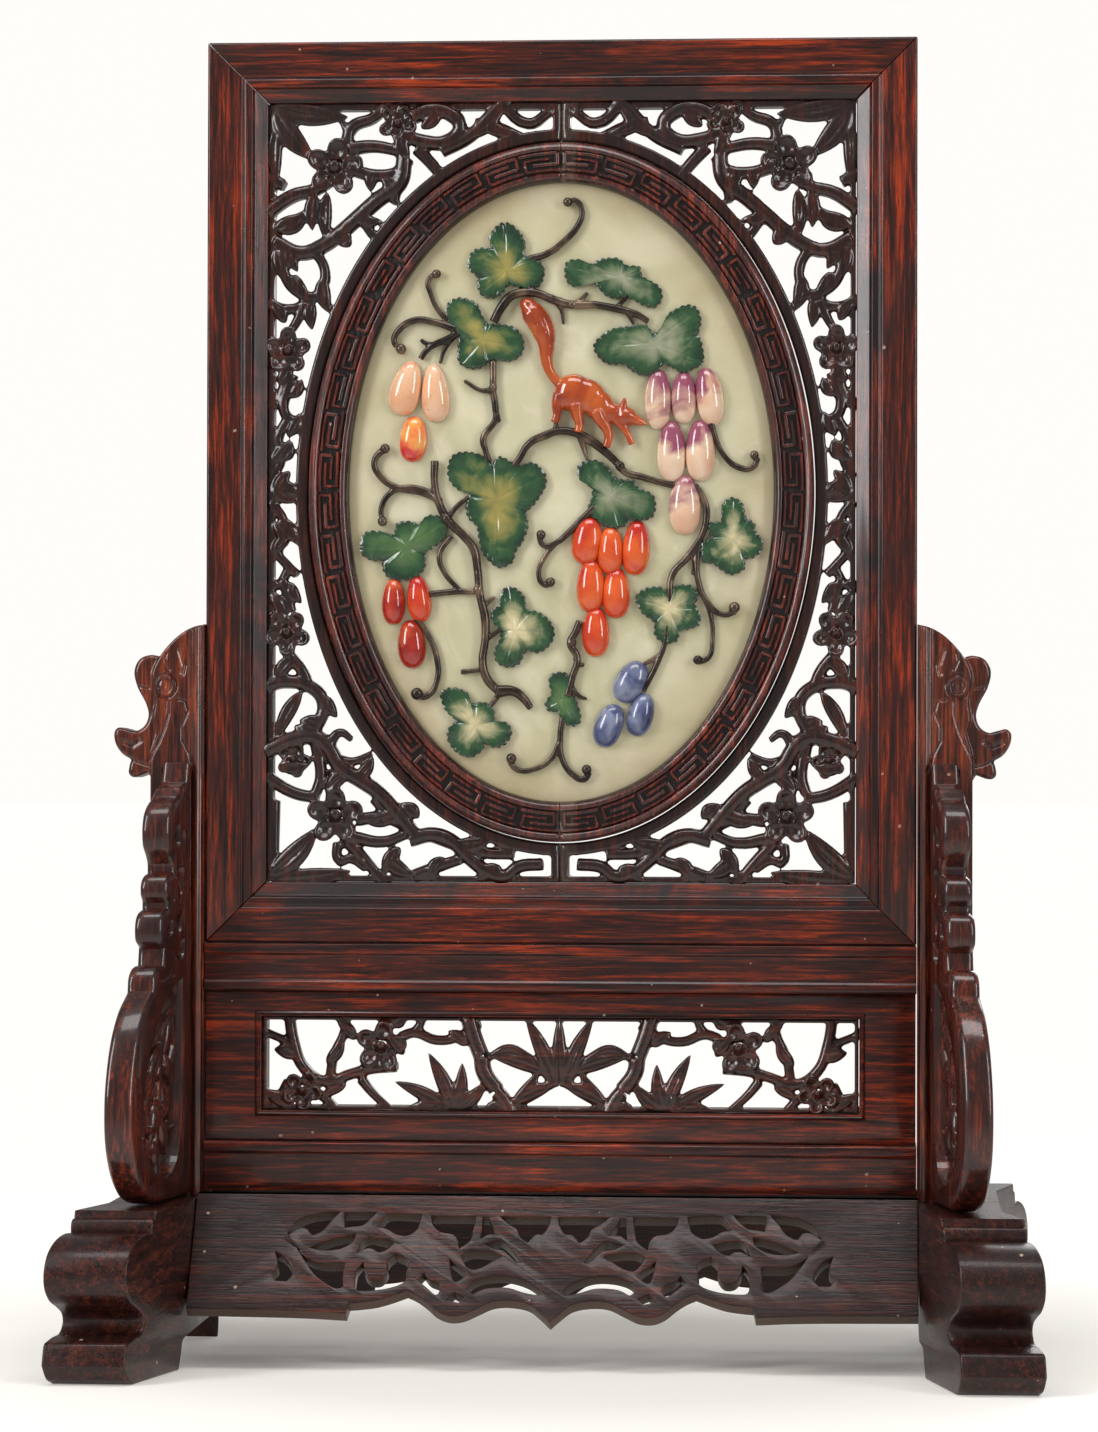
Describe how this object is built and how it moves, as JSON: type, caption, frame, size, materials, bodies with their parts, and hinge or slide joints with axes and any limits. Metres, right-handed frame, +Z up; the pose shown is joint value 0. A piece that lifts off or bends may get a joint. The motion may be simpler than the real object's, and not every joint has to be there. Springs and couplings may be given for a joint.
{
  "type": "carved wood table screen",
  "caption": "Upright hardwood table screen with pierced carving, an oval key-pattern ring and a jade plaque inlaid with stone fruit and leaves, on its footed stand.",
  "frame": {"origin": "on the ground plane below the middle of the stand", "axes": "+Z up, the carved front faces -Y, +X to the viewer's right"},
  "size_m": [0.3912, 0.215, 0.541],
  "materials": {
    "red_wood": "polished dark red hardwood",
    "ring_wood": "polished dark hardwood, rubbed red on the edges",
    "carved_wood": "glossy near-black carved hardwood",
    "dark_wood": "worn dark hardwood",
    "jade": "polished pale celadon stone",
    "green_stone": "polished mottled green stone",
    "pale_coral": "polished pale coral stone",
    "red_stone": "polished red stone",
    "orange_stone": "polished orange carnelian",
    "purple_stone": "polished pale stone with purple ends",
    "blue_stone": "polished grey-blue lapis",
    "squirrel_stone": "polished orange-brown stone",
    "vine_metal": "dark patinated metal"
  },
  "bodies": {
    "root": {"frame_top_rail": "red_wood", "frame_bottom_rail": "red_wood", "frame_stile_left": "red_wood", "frame_stile_right": "red_wood", "oval_ring_left": "ring_wood", "oval_ring_right": "ring_wood", "openwork_left": "carved_wood", "openwork_right": "carved_wood", "jade_plaque": "jade", "leaf_top": "green_stone", "leaf_long": "green_stone", "leaf_right_fan": "green_stone", "leaf_left": "green_stone", "leaf_middle": "green_stone", "leaf_far_left": "green_stone", "leaf_over_fruit": "green_stone", "leaf_far_right": "green_stone", "leaf_low_right": "green_stone", "leaf_low_middle": "green_stone", "leaf_low_left": "green_stone", "leaf_small": "green_stone", "berry_pale_1": "pale_coral", "berry_pale_2": "pale_coral", "berry_pale_3": "pale_coral", "berry_red_1": "red_stone", "berry_red_2": "red_stone", "berry_red_3": "red_stone", "berry_blue_1": "blue_stone", "berry_blue_2": "blue_stone", "berry_blue_3": "blue_stone", "berries_orange": "orange_stone", "berries_purple": "purple_stone", "squirrel": "squirrel_stone", "vine_top_tendril": "vine_metal", "vine_left_tendrils": "vine_metal", "vine_upper_branch": "vine_metal", "vine_middle_stem": "vine_metal", "vine_squirrel_branch": "vine_metal", "vine_right_tendril": "vine_metal", "vine_left_stem": "vine_metal", "vine_low_tendril": "vine_metal", "vine_fruit_tendrils": "vine_metal", "vine_fruit_stem": "vine_metal", "vine_bottom_tendrils": "vine_metal", "vine_blue_stem": "vine_metal", "post_left": "red_wood", "post_right": "red_wood", "foot_left": "dark_wood", "foot_right": "dark_wood", "spandrel_front_left": "red_wood", "spandrel_front_right": "red_wood", "spandrel_back_left": "red_wood", "spandrel_back_right": "red_wood", "stand_top_rail": "red_wood", "stand_bottom_rail": "red_wood", "waist_panel": "red_wood", "waist_carving": "carved_wood", "apron_front": "dark_wood", "apron_back": "dark_wood"}
  },
  "joints": []
}
